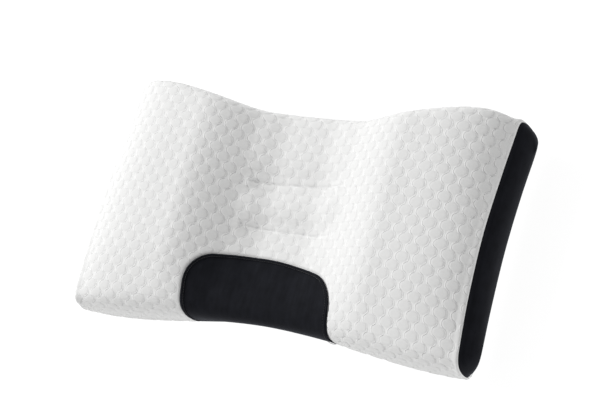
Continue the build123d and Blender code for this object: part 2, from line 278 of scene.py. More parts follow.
# ---------------------------------------------------------------- material helpers
def new_material(name, color, roughness, sheen=0.0, specular=0.25):
    material = bpy.data.materials.new(name)
    material.use_nodes = True
    shader = material.node_tree.nodes["Principled BSDF"]
    shader.inputs["Base Color"].default_value = (*color, 1.0)
    shader.inputs["Roughness"].default_value = roughness
    shader.inputs["Sheen Weight"].default_value = sheen
    shader.inputs["Sheen Roughness"].default_value = 0.5
    shader.inputs["Specular IOR Level"].default_value = specular
    return material, shader


class Nodes:
    """Short names for adding and joining shader nodes."""

    def __init__(self, material):
        self.tree = material.node_tree

    def add(self, kind, settings=None, **inputs):
        node = self.tree.nodes.new("ShaderNode" + kind)
        for key, value in (settings or {}).items():
            setattr(node, key, value)
        for key, value in inputs.items():
            numbered = key[0] == "i" and key[1:].isdigit()
            socket = node.inputs[int(key[1:]) if numbered else key.replace("_", " ")]
            if isinstance(value, bpy.types.NodeSocket):
                self.tree.links.new(value, socket)
            else:
                socket.default_value = value
        return node

    def math(self, operation, *values):
        inputs = {f"i{k}": value for k, value in enumerate(values)}
        return self.add("Math", {"operation": operation}, **inputs).outputs[0]

    def total(self, *weighted):
        """Sum of (value, weight) pairs."""
        result = None
        for value, weight in weighted:
            term = self.math("MULTIPLY", value, weight)
            result = term if result is None else self.math("ADD", result, term)
        return result

    def ramp(self, value, *stops):
        node = self.add("ValToRGB", Fac=value)
        elements = node.color_ramp.elements
        for k, (place, color) in enumerate(stops):
            element = elements[k] if k < 2 else elements.new(place)
            element.position = place
            element.color = (*color, 1.0)
        return node.outputs[0]

    def link(self, a, b):
        self.tree.links.new(a, b)


def bubble_height(nodes, a, b):
    """The bubbles' crisp outline, worked out from the cloth's own lengths a and b."""
    heights = []
    for shift in (0.0, 0.5):
        along_pillow = shift - BUBBLE_SHIFT[0] + 0.5
        share = nodes.math("MULTIPLY_ADD", a, 1.0 / BUBBLE_WIDE, along_pillow)
        from_middle = nodes.math("SUBTRACT", nodes.math("FLOORED_MODULO", share, 1.0), 0.5)
        round_section = 2 * math.pi * (shift - BUBBLE_SHIFT[1])
        turn = nodes.math("MULTIPLY_ADD", b, 2 * math.pi / BUBBLE_LONG, round_section)
        squared = nodes.math("MULTIPLY", nodes.math("COSINE", turn), BUBBLE_SQUARE)
        swing = nodes.math("TANH", squared)
        reach = nodes.math("MULTIPLY_ADD", swing, BUBBLE_SWING / math.tanh(BUBBLE_SQUARE), 0.25)
        inside = nodes.math("SUBTRACT", reach, nodes.math("ABSOLUTE", from_middle))
        inside = nodes.math("MULTIPLY", inside, BUBBLE_WIDE)
        slant = nodes.math("POWER", nodes.math("SINE", turn), 2.0)
        inside = nodes.math("DIVIDE", inside, nodes.math("MULTIPLY_ADD", slant, BUBBLE_STEEP, 1.0))
        edge = nodes.add(
            "MapRange", {"interpolation_type": "SMOOTHSTEP"},
            Value=inside, From_Min=0.15 * MM, From_Max=1.6 * BUBBLE_EDGE,
        ).outputs[0]
        bulb = nodes.add(
            "MapRange", {"interpolation_type": "SMOOTHSTEP"},
            Value=swing, From_Min=-0.8, From_Max=0.2, To_Min=BUBBLE_NECK, To_Max=1.0,
        ).outputs[0]
        heights.append(nodes.math("MULTIPLY", edge, bulb))
    return nodes.math("MAXIMUM", *heights)


def knit(name, face, channel):
    """White bubble knit: flat channels between raised bubbles, fine slanting stitches, painted
    shading.
    """
    material, shader = new_material(name, face, 0.9, 0.2)
    nodes = Nodes(material)
    fabric = nodes.add("Attribute", {"attribute_name": "fabric"}).outputs["Vector"]
    a, b, calm = nodes.add("SeparateXYZ", Vector=fabric).outputs
    height = nodes.math("MULTIPLY", bubble_height(nodes, a, b), calm)
    flat = nodes.add("CombineXYZ", X=a, Y=b).outputs[0]
    slanting = nodes.add("Mapping", Vector=flat, Rotation=(0, 0, math.radians(32))).outputs[0]
    ribs = nodes.add(
        "TexWave", {"bands_direction": "X"}, Vector=slanting, Scale=260.0, Distortion=2.5,
        Detail=2.0, Detail_Scale=1.5,
    ).outputs["Fac"]
    grain = nodes.add("TexNoise", Vector=flat, Scale=800.0, Detail=3.0).outputs["Fac"]
    cloudy = nodes.add("TexNoise", Vector=flat, Scale=14.0, Detail=3.0).outputs["Fac"]
    # Colour follows the bubbles' height: painted shade darkens the raised faces and painted light
    # brightens the channels; the noise terms are the knit's own uneven tone.
    tone = nodes.total((height, 0.75), (grain, 0.3), (ribs, 0.12), (cloudy, 0.2))
    color = nodes.ramp(tone, (0.25, channel), (1.0, face))
    nodes.link(color, shader.inputs["Base Color"])
    stitched = nodes.total((grain, 0.10), (ribs, 0.09), (height, 0.8))
    bump = nodes.add("Bump", Strength=1.0, Distance=0.8 * MM, Height=stitched)
    nodes.link(bump.outputs[0], shader.inputs["Normal"])
    return material


def suede(name, dark, light):
    """Brushed black cloth: short pile that lies in faint streaks."""
    material, shader = new_material(name, dark, 0.9, 0.10, 0.15)
    shader.inputs["Sheen Roughness"].default_value = 0.35
    shader.inputs["Sheen Tint"].default_value = (0.6, 0.65, 0.8, 1.0)
    nodes = Nodes(material)
    place = nodes.add("TexCoord").outputs["Object"]
    combed = nodes.add("Mapping", Vector=place, Scale=(160, 30, 60)).outputs[0]
    streaks = nodes.add("TexNoise", Vector=combed, Scale=1.0, Detail=4.0).outputs["Fac"]
    pile = nodes.add("TexNoise", Vector=place, Scale=1500.0, Detail=3.0).outputs["Fac"]
    mottled = nodes.add("TexNoise", Vector=place, Scale=60.0, Detail=4.0).outputs["Fac"]
    tone = nodes.total((streaks, 0.5), (mottled, 0.5))
    nodes.link(nodes.ramp(tone, (0.35, dark), (0.65, light)), shader.inputs["Base Color"])
    rough = nodes.add("MapRange", Value=pile, To_Min=0.82, To_Max=0.97).outputs[0]
    nodes.link(rough, shader.inputs["Roughness"])
    lying = nodes.total((pile, 0.6), (streaks, 0.4))
    bump = nodes.add("Bump", Strength=0.5, Distance=0.3 * MM, Height=lying)
    nodes.link(bump.outputs[0], shader.inputs["Normal"])
    return material


def thread(name, light, dark):
    """Twisted sewing thread."""
    material, shader = new_material(name, light, 0.6, 0.2)
    nodes = Nodes(material)
    place = nodes.add("TexCoord").outputs["Object"]
    twist = nodes.add("TexWave", {"bands_direction": "DIAGONAL"}, Vector=place, Scale=900.0)
    twist = twist.outputs["Fac"]
    nodes.link(nodes.ramp(twist, (0.2, dark), (0.8, light)), shader.inputs["Base Color"])
    bump = nodes.add("Bump", Strength=0.5, Distance=0.1 * MM, Height=twist)
    nodes.link(bump.outputs[0], shader.inputs["Normal"])
    return material


def woven(name, light, dark, scale):
    """Plain woven cloth: crossing yarns."""
    material, shader = new_material(name, light, 0.85, 0.15)
    nodes = Nodes(material)
    place = nodes.add("TexCoord").outputs["Object"]
    warp, weft = (
        nodes.add("TexWave", {"bands_direction": way}, Vector=place, Scale=scale).outputs["Fac"]
        for way in ("X", "Z")
    )
    yarns = nodes.math("MAXIMUM", warp, weft)
    nodes.link(nodes.ramp(yarns, (0.1, dark), (0.9, light)), shader.inputs["Base Color"])
    bump = nodes.add("Bump", Strength=0.5, Distance=0.15 * MM, Height=yarns)
    nodes.link(bump.outputs[0], shader.inputs["Normal"])
    return material


def fibre():
    """Loose curled polyester fibre."""
    material, shader = new_material("fibre_fill", (0.85, 0.85, 0.84), 0.95, 0.4)
    nodes = Nodes(material)
    place = nodes.add("TexCoord").outputs["Object"]
    curls = nodes.add("TexNoise", Vector=place, Scale=220.0, Detail=6.0, Distortion=3.0)
    curls = curls.outputs["Fac"]
    tone = nodes.ramp(curls, (0.3, (0.7, 0.7, 0.69)), (0.7, (0.9, 0.9, 0.89)))
    nodes.link(tone, shader.inputs["Base Color"])
    bump = nodes.add("Bump", Strength=0.8, Distance=1.0 * MM, Height=curls)
    nodes.link(bump.outputs[0], shader.inputs["Normal"])
    return material


def hard(name, color, roughness):
    """Moulded or enamelled part with faint handling marks."""
    material, shader = new_material(name, color, roughness, specular=0.5)
    nodes = Nodes(material)
    place = nodes.add("TexCoord").outputs["Object"]
    marks = nodes.add("TexNoise", Vector=place, Scale=700.0, Detail=5.0).outputs["Fac"]
    worn = nodes.add("MapRange", Value=marks, To_Min=roughness * 0.75, To_Max=roughness * 1.3)
    nodes.link(worn.outputs[0], shader.inputs["Roughness"])
    dim = tuple(0.88 * c for c in color)
    nodes.link(nodes.ramp(marks, (0.3, dim), (0.65, color)), shader.inputs["Base Color"])
    return material


# The first colour is the bubble faces, darkened with painted shade; the second is the channels,
# lightened with painted light.
KNIT = knit("bubble_knit", (0.80, 0.80, 0.795), (0.9, 0.9, 0.895))
SUEDE = suede("black_suede", (0.0042, 0.0047, 0.0070), (0.0088, 0.0096, 0.0135))
WHITE_THREAD = thread("white_thread", (0.84, 0.84, 0.83), (0.6, 0.6, 0.59))
BLACK_THREAD = thread("black_thread", (0.02, 0.021, 0.025), (0.006, 0.006, 0.008))
TAPE = woven("zip_tape", (0.82, 0.82, 0.81), (0.62, 0.62, 0.61), 900.0)
BAFFLE = woven("baffle_cloth", (0.8, 0.8, 0.79), (0.66, 0.66, 0.65), 500.0)
LABEL = woven("label_cloth", (0.85, 0.85, 0.84), (0.74, 0.74, 0.73), 1400.0)
FIBRE = fibre()
TEETH = hard("zip_plastic", (0.8, 0.8, 0.79), 0.35)
METAL = hard("zip_metal", (0.78, 0.78, 0.78), 0.3)


# ---------------------------------------------------------------- quilted surface
def bubble_relief(a, b):
    """Height of the bubbles, 0 to 1, where a and b are lengths along and across the cloth."""
    best = np.zeros_like(a)
    for shift in (0.0, 0.5):
        from_middle = (a / BUBBLE_WIDE + shift - BUBBLE_SHIFT[0] + 0.5) % 1.0 - 0.5
        turn = 2 * math.pi * (b / BUBBLE_LONG + shift - BUBBLE_SHIFT[1])
        swing = np.tanh(BUBBLE_SQUARE * np.cos(turn))
        reach = 0.25 + BUBBLE_SWING * swing / math.tanh(BUBBLE_SQUARE)
        inside = (reach - np.abs(from_middle)) * BUBBLE_WIDE
        inside = np.maximum(inside / (1.0 + BUBBLE_STEEP * np.sin(turn) ** 2), 0.0)
        bulb = BUBBLE_NECK + (1.0 - BUBBLE_NECK) * smooth(swing + 0.8)
        best = np.maximum(best, bulb * (1.0 - np.exp(-inside / BUBBLE_EDGE)))
    return best


def panel_inner_y(x):
    """The neck panel's inner edge in plan, before its corners are rounded."""
    across = x - PANEL_MIDDLE_X
    return PANEL_INNER_Y - PANEL_BOW * (across / PANEL_X) ** 2 - PANEL_SKEW * across


def panel_slant(points):
    """How far to the right the panel's outline is shifted at points on the pillow."""
    return PANEL_SHEAR * (PANEL_SHEAR_FROM - points[..., 1])


def panel_distance(x, y):
    """Signed plan distance to the neck panel's outline, negative inside."""
    px = np.abs(x - PANEL_MIDDLE_X) - PANEL_X + PANEL_RADIUS
    py = y - panel_inner_y(x) + PANEL_RADIUS
    outside = np.hypot(np.maximum(px, 0), np.maximum(py, 0))
    return np.minimum(np.maximum(px, py), 0.0) + outside - PANEL_RADIUS


def turn_at_height(u, z, front):
    """The turn, below the equator, where the section's wall is at height z."""
    power = roundness(FRONT_ROUNDNESS if front else BACK_ROUNDNESS, u)
    drop = np.clip((EQUATOR_Z - z) / base_depth(u), 0.0, 0.999)
    v = (1.0 - drop**2) ** (1.0 / power)
    return math.pi + np.arccos(v) if front else -np.arccos(v)


def turn_above(u, z):
    """The turn, above the equator at the back, where the wall is at height z."""
    rise = np.clip((z - EQUATOR_Z) / top_height(u, np.ones_like(u)), 0.0, 0.999)
    return np.arccos((1.0 - rise**2) ** (1.0 / roundness(BACK_ROUNDNESS, u)))


def turn_at_y(u, y):
    """The turn, above the equator, where the section is at y."""
    reach = np.where(y >= 0, back_reach(u), front_reach(u))
    return np.arccos(np.clip(y / reach, -1.0, 1.0))


def zip_gap(u):
    """Half height of the opening that the zip closes."""
    past = np.abs(u) * SEAM_X - ZIP_END_X + 6 * MM
    return ZIP_OPENING * (1.0 - smooth(past / (8 * MM)))


def front_seam_turn(u):
    """The turn of the seam between the two covers at the front."""
    height = np.maximum(SEAM_FRONT_Z, EQUATOR_Z - 0.8 * base_depth(u))
    return turn_at_height(u, height, True)


def even_shares(count):
    """Shares of the half width, from -1 to 1, evenly spaced along the top of the pillow."""
    dense = np.linspace(-1, 1, 4001)
    length = lengths_along(form(dense[:, None], np.full((4001, 1), 1.2)), 0)[:, 0]
    return np.interp(np.linspace(0, length[-1], count), length, dense)


def even_grid(u, first, last, rows):
    """Turns that divide each section evenly by length, from its first turn to its last."""
    dense = first[:, None] + (last - first)[:, None] * np.linspace(0, 1, 500)[None]
    lengths = lengths_along(form(u[:, None] + 0 * dense, dense), 1)
    turns = np.empty((len(u), rows))
    for i in range(len(u)):
        turns[i] = np.interp(np.linspace(0, lengths[i, -1], rows), lengths[i], dense[i])
    return turns


def fabric_lengths(u, turns, middle_turn):
    """Lengths along the cloth from its middle: a along the pillow, b round the section."""
    dense = np.linspace(turns.min(), turns.max(), 500)
    shares = np.linspace(-1, 1, 801)
    grid = form(shares[:, None] + 0 * dense[None], 0 * shares[:, None] + dense[None])
    a = lengths_along(grid, 0)
    a -= a[400]
    b = lengths_along(grid, 1)
    out_a, out_b = np.empty_like(turns), np.empty_like(turns)
    for i, share in enumerate(u):
        place = (share + 1.0) * 400.0
        low = min(int(place), 799)
        part = place - low
        a_here = a[low] * (1 - part) + a[low + 1] * part
        b_here = b[low] * (1 - part) + b[low + 1] * part
        out_a[i] = np.interp(turns[i], dense, a_here)
        out_b[i] = np.interp(turns[i], dense, b_here) - np.interp(middle_turn, dense, b_here)
    return out_a, out_b


# ---------------------------------------------------------------- how the filling blows it up
SIM_COLUMNS, SIM_ROWS = 101, 150     # along the pillow, round the section
SIM_START = 3 * MM                   # how far inside the form the cloth starts
SIM_SEWN = 3 * MM                    # cloth nearer than this to a sewn line is held
SIM_CAP = 7 * MM                     # the most a point may move
SIM_SMOOTHING = 6                    # passes
SIM_FADE = 14 * MM                   # from a seam or sewn line to where the cloth is free


def blown_up():
    """Runs the whole cover as cloth, held at its seams and sewn lines and blown up by the filling.

    Gives the shares, the turns and the offset from the form of each point of a coarse grid.
    """
    u = even_shares(SIM_COLUMNS)
    turns = even_grid(u, np.zeros(SIM_COLUMNS), np.full(SIM_COLUMNS, 2 * math.pi), SIM_ROWS + 1)
    turns[:, -1] = 2 * math.pi
    points = form(u[:, None], turns)
    normals = normals_of(points, True)
    x, y, z = np.moveaxis(points, -1, 0)
    on_top = (turns < math.pi) & (z > EQUATOR_Z)
    sewn = on_top & (crease_distance(x, y) < SIM_SEWN)
    front_seam = np.abs(turns - front_seam_turn(u)[:, None]) < 0.03
    back_seam = (turns < 0.01) | (turns > 2 * math.pi - 0.01)
    held = sewn | front_seam | back_seam | (z < 1.1 * PRESSED)
    held[[0, -1]] = True
    start = points - normals * np.where(held, 0.0, SIM_START)[..., None]
    start, ring_held = start[:, :-1], held[:, :-1]
    cloth = grid_object("sim_cloth", start, FIBRE, flip=True, close=True)
    group = cloth.vertex_groups.new(name="held")
    group.add(np.flatnonzero(ring_held.ravel()).tolist(), 1.0, "REPLACE")
    modifier = cloth.modifiers.new("cloth", "CLOTH")
    settings = modifier.settings
    settings.effector_weights.gravity = 0.0
    settings.vertex_group_mass = "held"
    settings.use_pressure = True
    settings.uniform_pressure_force = 4.0
    settings.quality = 6
    settings.mass = 0.3
    settings.tension_stiffness = settings.compression_stiffness = 12.0
    settings.bending_stiffness = 4.0
    modifier.collision_settings.use_collision = False
    scene = bpy.context.scene
    scene.frame_end = 20
    for frame_number in range(1, 21):
        scene.frame_set(frame_number)
    shaped = cloth.evaluated_get(bpy.context.evaluated_depsgraph_get())
    after = np.empty(start.size, np.float32)
    shaped.data.vertices.foreach_get("co", after)
    moved = after.reshape(start.shape) - start
    offset = np.sum(moved * normals[:, :-1], axis=-1)
    offset = np.clip(offset, 0.0, SIM_CAP) - np.where(ring_held, 0.0, SIM_START)
    bpy.data.objects.remove(cloth)
    scene.frame_set(1)
    for _ in range(SIM_SMOOTHING):
        beside = np.roll(offset, 1, axis=1) + np.roll(offset, -1, axis=1)
        beside[1:-1] += offset[:-2] + offset[2:]
        beside[[0, -1]] *= 2
        offset = (offset + beside / 4) / 2
    return u, turns, np.concatenate([offset, offset[:, :1]], axis=1)


BLOWN_SHARES, BLOWN_TURNS, BLOWN_OFFSETS = blown_up()


def blown(u, turn, seam):
    """The cloth's offset from the form, at any share and turn, that far from a seam."""
    x, y, _ = np.moveaxis(form(u[:, None], turn), -1, 0)
    nearest = np.where(np.sin(turn) > 0, np.minimum(seam, crease_distance(x, y)), seam)
    turn = turn % (2 * math.pi)
    out = np.empty_like(turn)
    for i, share in enumerate(u):
        right = int(np.clip(np.searchsorted(BLOWN_SHARES, share), 1, SIM_COLUMNS - 1))
        left = right - 1
        step = BLOWN_SHARES[right] - BLOWN_SHARES[left]
        part = np.clip((share - BLOWN_SHARES[left]) / step, 0.0, 1.0)
        out[i] = (1 - part) * np.interp(turn[i], BLOWN_TURNS[left], BLOWN_OFFSETS[left])
        out[i] += part * np.interp(turn[i], BLOWN_TURNS[right], BLOWN_OFFSETS[right])
    return out * smooth(nearest / SIM_FADE)


def tucked(distance, width=2.6 * MM):
    """How far the cloth is drawn in at that distance from a seam."""
    return SEAM_TUCK * np.exp(-((np.maximum(distance, 0) / width) ** 2))


PANEL_LAP = 4 * MM           # how far the cover runs on under the neck panel
CALM = 1.5 * MM              # from a seam or sewn line to where the bubbles start
CREASE_END = 12 * MM         # length over which a sewn line dies out
RESTED = 8 * MM              # height over which the bubbles are pressed out by the floor


def quilt(name, first, last, rows, columns, middle_turn, cut_panel):
    """A cover panel: even grid of the form, raised by the bubbles along its normals."""
    u = even_shares(columns)
    turns = even_grid(u, first(u), last(u), rows)
    points = form(u[:, None] + 0 * turns, turns)
    normals = normals_of(points, True)
    a, b = fabric_lengths(u, turns, middle_turn)
    end = lengths_along(points, 0)
    end = np.minimum(end, end[-1:] - end)
    edge = lengths_along(points, 1)
    edge = np.minimum(edge, edge[:, -1:] - edge)
    seam = np.minimum(end, edge)
    swollen = blown(u, turns, seam)
    keep = None
    if cut_panel:
        gap = panel_distance(points[..., 0] - panel_slant(points), points[..., 1])
        seam = np.minimum(seam, np.abs(gap))
        inside = gap < -PANEL_LAP
        keep = ~(inside[:-1, :-1] & inside[1:, :-1] & inside[:-1, 1:] & inside[1:, 1:])
        seam = np.where(gap < 0, 0.0, seam)
    x, y, z = np.moveaxis(points, -1, 0)
    crease = np.minimum(np.abs(y - crease_y(True, x)), np.abs(y - crease_y(False, x)))
    beside = smooth((np.abs(x) - BAFFLE_X) / CREASE_END)
    calm = smooth(seam / CALM) * np.maximum(smooth(crease / CALM), beside)
    rested = smooth((z - PRESSED) / RESTED)
    relief = bubble_relief(a, b) * calm * rested
    raised = (relief - 0.5 * rested) * BUBBLE_HEIGHT - tucked(seam) + swollen
    points = points + normals * raised[..., None]
    points[..., 2] = np.maximum(points[..., 2], 0.0)
    fabric = np.stack([a, b, calm], -1)
    return points, grid_object(name, points, KNIT, keep, flip=True, fabric=fabric)


top_points, cover_top = quilt(
    "cover_top_quilt",
    lambda u: turn_above(u, EQUATOR_Z + zip_gap(u)),
    front_seam_turn, 268, 361, math.pi / 2, True,
)
base_points, cover_base = quilt(
    "cover_base_quilt",
    front_seam_turn,
    lambda u: 2 * math.pi + turn_at_height(u, EQUATOR_Z - np.maximum(zip_gap(u), 0.02 * MM), False),
    230, 361, 1.5 * math.pi, False,
)
for piece, node, finish in (
    (cover_top, "cover_top", "bubble_knit"), (cover_base, "cover_base", "base_knit"),
):
    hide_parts(node)
    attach(piece, "pillow")


# ---------------------------------------------------------------- end gussets
LEFT_BULGE = BULGE - 6 * MM  # the left end is stuffed a little flatter
GUSSET_FULLNESS = 2.6        # how soon a gusset rises from its seam
GUSSET_GROOVE = 1.2 * MM     # depth of the line beside its seam,
GUSSET_GROOVE_IN = 4.5 * MM  # how far in it lies,
GUSSET_GROOVE_WIDTH = 1.3 * MM    # and how wide it is
GUSSET_POINTS = 420          # round its edge


def end_gusset(name, side):
    """Black end panel: it meets both covers along their end edge and bulges between.

    Its rings step inward from that edge to a spine along the middle of the end.
    """
    bulge = BULGE if side > 0 else LEFT_BULGE
    column = -1 if side > 0 else 0
    top_edge, base_edge = top_points[column], base_points[column]
    ring = np.concatenate([top_edge, base_edge[1:-1]])
    length = lengths_along(ring[None], 1)[0]
    even = np.linspace(0, length[-1], GUSSET_POINTS, endpoint=False)
    ring = np.stack([np.interp(even, length, ring[:, k]) for k in range(3)], -1)
    half = (ring[:, 2].max() - ring[:, 2].min()) / 2
    reach = HALF_DEPTH - half
    spine_y = ring[:, 1] * (reach / HALF_DEPTH)
    order = np.argsort(top_edge[:, 1])
    top_z = np.interp(spine_y, top_edge[order, 1], top_edge[order, 2])
    order = np.argsort(base_edge[:, 1])
    base_z = np.interp(spine_y, base_edge[order, 1], base_edge[order, 2])
    spine = np.stack([ring[:, 0], spine_y, (top_z + base_z) / 2], -1)
    depth = np.concatenate([[0.0, 0.012, 0.035, 0.07], np.linspace(0.11, 1.0, 34)])
    rings = ring[:, None] + (spine - ring)[:, None] * depth[None, :, None]
    edge = np.linalg.norm(ring - spine, axis=1)[:, None] * depth[None]
    swell = (bulge + SEAM_TUCK) * (1.0 - (1.0 - depth) ** GUSSET_FULLNESS)
    groove = GUSSET_GROOVE * np.exp(-(((edge - GUSSET_GROOVE_IN) / GUSSET_GROOVE_WIDTH) ** 2))
    rings[..., 0] += side * (swell[None] - groove)
    piece = grid_object(name, np.swapaxes(rings, 0, 1), SUEDE, flip=side > 0, close=True)
    weld(piece)
    return piece


for name, node, side in (
    ("gusset_right_cloth", "gusset_right", 1), ("gusset_left_cloth", "gusset_left", -1),
):
    piece = end_gusset(name, side)
    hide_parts(node)
    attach(piece, "pillow")


# ---------------------------------------------------------------- neck panel
def panel_edge_y(x, inset=0.0):
    """The neck panel's outline in plan, with its rounded corners."""
    radius = PANEL_RADIUS - inset
    past = np.maximum(np.abs(x - PANEL_MIDDLE_X) - PANEL_X + PANEL_RADIUS, 0.0)
    past = np.minimum(past, radius)
    return panel_inner_y(x) - PANEL_RADIUS + np.sqrt(radius**2 - past**2)


def panel_lift(distance):
    """Height of the panel's cloth against its distance inside its own edge."""
    roll = np.clip(distance / PANEL_SEAM_INSET, 0.0, 1.0)
    rolled = PANEL_ROLL * np.sqrt(np.maximum(1.0 - (2.0 * roll - 1.0) ** 2, 0.0))
    inner = np.maximum(distance - PANEL_SEAM_INSET, 0.0)
    crowned = PANEL_CROWN * (1.0 - np.exp(-inner / PANEL_CROWN_WIDTH))
    drawn = PANEL_GROOVE * np.exp(-(((distance - PANEL_SEAM_INSET) / (1.3 * MM)) ** 2))
    return np.where(distance < PANEL_SEAM_INSET, rolled, crowned) - drawn


def neck_panel():
    """Black panel let into the top cover, from its rounded inner edge down to the front seam."""
    side = np.linspace(-1, 1, 241)
    side = np.sin(side * math.pi / 2) * 0.55 + side * 0.45
    x = PANEL_MIDDLE_X + side * PANEL_X
    u = x / SEAM_X
    first = turn_at_y(u, panel_edge_y(x))
    last = front_seam_turn(u)
    rows = 150
    share = np.linspace(0, 1, rows) ** 1.25
    dense = first[:, None] + (last - first)[:, None] * np.linspace(0, 1, 500)[None]
    lengths = lengths_along(form(u[:, None] + 0 * dense, dense), 1)
    turns = np.stack([
        np.interp(share * lengths[i, -1], lengths[i], dense[i]) for i in range(len(u))
    ])
    points = form(u[:, None], turns)
    inside = -panel_distance(points[..., 0], points[..., 1])
    points = form(u[:, None] + panel_slant(points) / SEAM_X, turns)
    normals = normals_of(points, True)
    front = lengths_along(points, 1)
    front = front[:, -1:] - front
    lift = panel_lift(inside) * smooth(front / PANEL_CALM) - tucked(front)
    lift += blown(u, turns, front)
    points = points + normals * lift[..., None]
    return grid_object("neck_panel_cloth", points, SUEDE, flip=True)


panel = neck_panel()
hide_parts("neck_panel")
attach(panel, "pillow")


# ---------------------------------------------------------------- fillings
FILL_INSET = 7 * MM          # below the cover's outer face
FILL_GAP = 1.5 * MM          # to a baffle
FILL_SQUARE = 12             # exponent of its outline in plan: high is boxy


def filling(name, node, x_low, x_high, y_low, y_high):
    """A crowned body of loose fibre that takes up one chamber, just inside the cover."""
    rows, columns = 90, 60
    x = np.linspace(x_low, x_high, rows)
    u = x / SEAM_X
    back = turn_at_y(u, np.minimum(back_reach(u) - FILL_INSET, y_high))
    front = turn_at_y(u, np.maximum(FILL_INSET - front_reach(u), y_low))
    even = np.linspace(0, 1, columns)
    ends = (1.0 - np.abs(np.linspace(-1, 1, rows)) ** FILL_SQUARE) ** (1 / FILL_SQUARE)
    sides = (1.0 - np.abs(2 * even - 1) ** FILL_SQUARE) ** (1 / FILL_SQUARE)
    turns = back[:, None] + (front - back)[:, None] * even
    top, under = form(u[:, None], turns), form(u[:, None], 2 * math.pi - turns)
    middle = (top[..., 2] + under[..., 2]) / 2
    half = ((top[..., 2] - under[..., 2]) / 2 - FILL_INSET) * ends[:, None] * sides
    top[..., 2] = middle + half
    under[..., 2] = middle - half
    ring = np.concatenate([top, under[:, ::-1]], axis=1)
    piece = grid_object(name, ring, FIBRE, close=True)
    weld(piece)
    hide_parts(node)
    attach(piece, "pillow")


inner_x = BAFFLE_X - FILL_GAP
outer_x = BAFFLE_X + FILL_GAP
far = 2 * HALF_DEPTH         # past the pillow's edges
filling("filling_right", "fill_right", outer_x, SEAM_X - 1 * MM, -far, far)
filling("filling_left", "fill_left", 1 * MM - SEAM_X, -outer_x, -far, far)
tilt = CREASE_TILT * BAFFLE_X + FILL_GAP
filling("filling_back", "fill_back", -inner_x, inner_x, CREASE_BACK_Y + tilt, far)
filling(
    "filling_middle", "fill_middle", -inner_x, inner_x,
    CREASE_FRONT_Y + FILL_GAP, CREASE_BACK_Y - tilt,
)
filling("filling_neck_roll", "fill_neck_roll", -inner_x, inner_x, -far, CREASE_FRONT_Y - FILL_GAP)


# ---------------------------------------------------------------- baffles and label
def baffle(name, node, x, y):
    """A fabric wall that ties the top cover to the base, following a line in plan."""
    turn = turn_at_y(x / SEAM_X, y)
    top = form(x / SEAM_X, turn)
    under = form(x / SEAM_X, 2 * math.pi - turn)
    height = top[:, 2] - under[:, 2] - 2 * FILL_INSET
    share = np.linspace(0, 1, 16)
    points = np.repeat(top[:, None], len(share), axis=1)
    points[..., 2] -= FILL_INSET + height[:, None] * share
    steps = lengths_along(points[:, :1], 0)[:, 0]
    piece = grid_object(name, points, BAFFLE)
    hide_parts(node)
    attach(piece, "pillow")


across = np.linspace(-BAFFLE_X, BAFFLE_X, 60)
along_side = np.linspace(FILL_INSET - front_reach(0), back_reach(0) - 3 * FILL_INSET, 90)
for way, x in (("left", -BAFFLE_X), ("right", BAFFLE_X)):
    baffle("baffle_cloth_" + way, "baffle_" + way, np.full(90, x), along_side)
for way in ("back", "front"):
    baffle("baffle_cloth_" + way, "baffle_" + way, across, crease_y(way == "back", across))


LABEL_WIDTH = 32 * MM
LABEL_STAND_OFF = 1.8 * MM   # clear of the bubbles


def care_label():
    """Blank label, folded in half with both ends caught in the back seam."""
    low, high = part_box("care_label")
    half = LABEL_WIDTH / 2
    middle_x = (low.x + high.x) / 2
    x = middle_x + np.linspace(-half, half, 17)
    y = back_reach(x / SEAM_X) + LABEL_STAND_OFF
    fold = 0.4 * MM
    bend = np.linspace(0, math.pi, 9)[1:-1]
    drop = np.linspace(high.z, low.z + fold, 14)
    out = np.concatenate([np.full(14, fold), fold * np.cos(bend), np.full(14, -fold)])
    z = np.concatenate([drop, low.z + fold - fold * np.sin(bend), drop[::-1]])
    points = np.stack([
        np.repeat(x[:, None], len(z), 1), y[:, None] + out, np.repeat(z[None], len(x), 0)
    ], -1)
    piece = grid_object("care_label_cloth", points, LABEL, flip=True)
    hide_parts("care_label")
    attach(piece, "pillow")


care_label()


# ---------------------------------------------------------------- stitches
STITCH_PITCH, STITCH_LENGTH, STITCH_RADIUS = 4.0 * MM, 3.0 * MM, 0.45 * MM


def stitch_line(name, node, path, normals, material):
    """Lockstitches along a path: each a short thread that dips into the cloth at its ends."""
    length = lengths_along(path[None], 1)[0]
    rings, sides = 7, 6
    points, faces = [], []
    count = int(length[-1] / STITCH_PITCH)
    along_stitch = np.linspace(-0.5, 0.5, rings)
    for k in range(count):
        middle = (k + 0.5) * STITCH_PITCH
        here = middle + along_stitch * STITCH_LENGTH
        centre = np.stack([np.interp(here, length, path[:, j]) for j in range(3)], -1)
        up = np.array([np.interp(middle, length, normals[:, j]) for j in range(3)])
        up /= np.linalg.norm(up)
        forward = centre[-1] - centre[0]
        forward /= np.linalg.norm(forward)
        across = np.cross(forward, up)
        thick = STITCH_RADIUS * np.sqrt(1.0 - (2 * along_stitch * 0.94) ** 4)
        rise = (0.25 - (2 * along_stitch) ** 4 * 1.1) * STITCH_RADIUS
        turn = np.linspace(0, 2 * math.pi, sides, endpoint=False)
        round_it = np.cos(turn)[:, None] * across + np.sin(turn)[:, None] * up
        ring = (centre + rise[:, None] * up)[:, None] + thick[:, None, None] * round_it[None]
        start = len(points)
        points.extend(ring.reshape(-1, 3))
        for quad in grid_faces(rings, sides, close=True).reshape(-1, 4):
            faces.append([start + corner for corner in quad])
        faces.append([start + corner for corner in range(sides)])
        faces.append([start + (rings - 1) * sides + corner for corner in reversed(range(sides))])
    mesh = bpy.data.meshes.new(name)
    mesh.from_pydata([tuple(p) for p in points], [], faces)
    mesh.shade_smooth()
    mesh.materials.append(material)
    piece = bpy.data.objects.new(name, mesh)
    bpy.context.scene.collection.objects.link(piece)
    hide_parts(node)
    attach(piece, "pillow")
    return piece


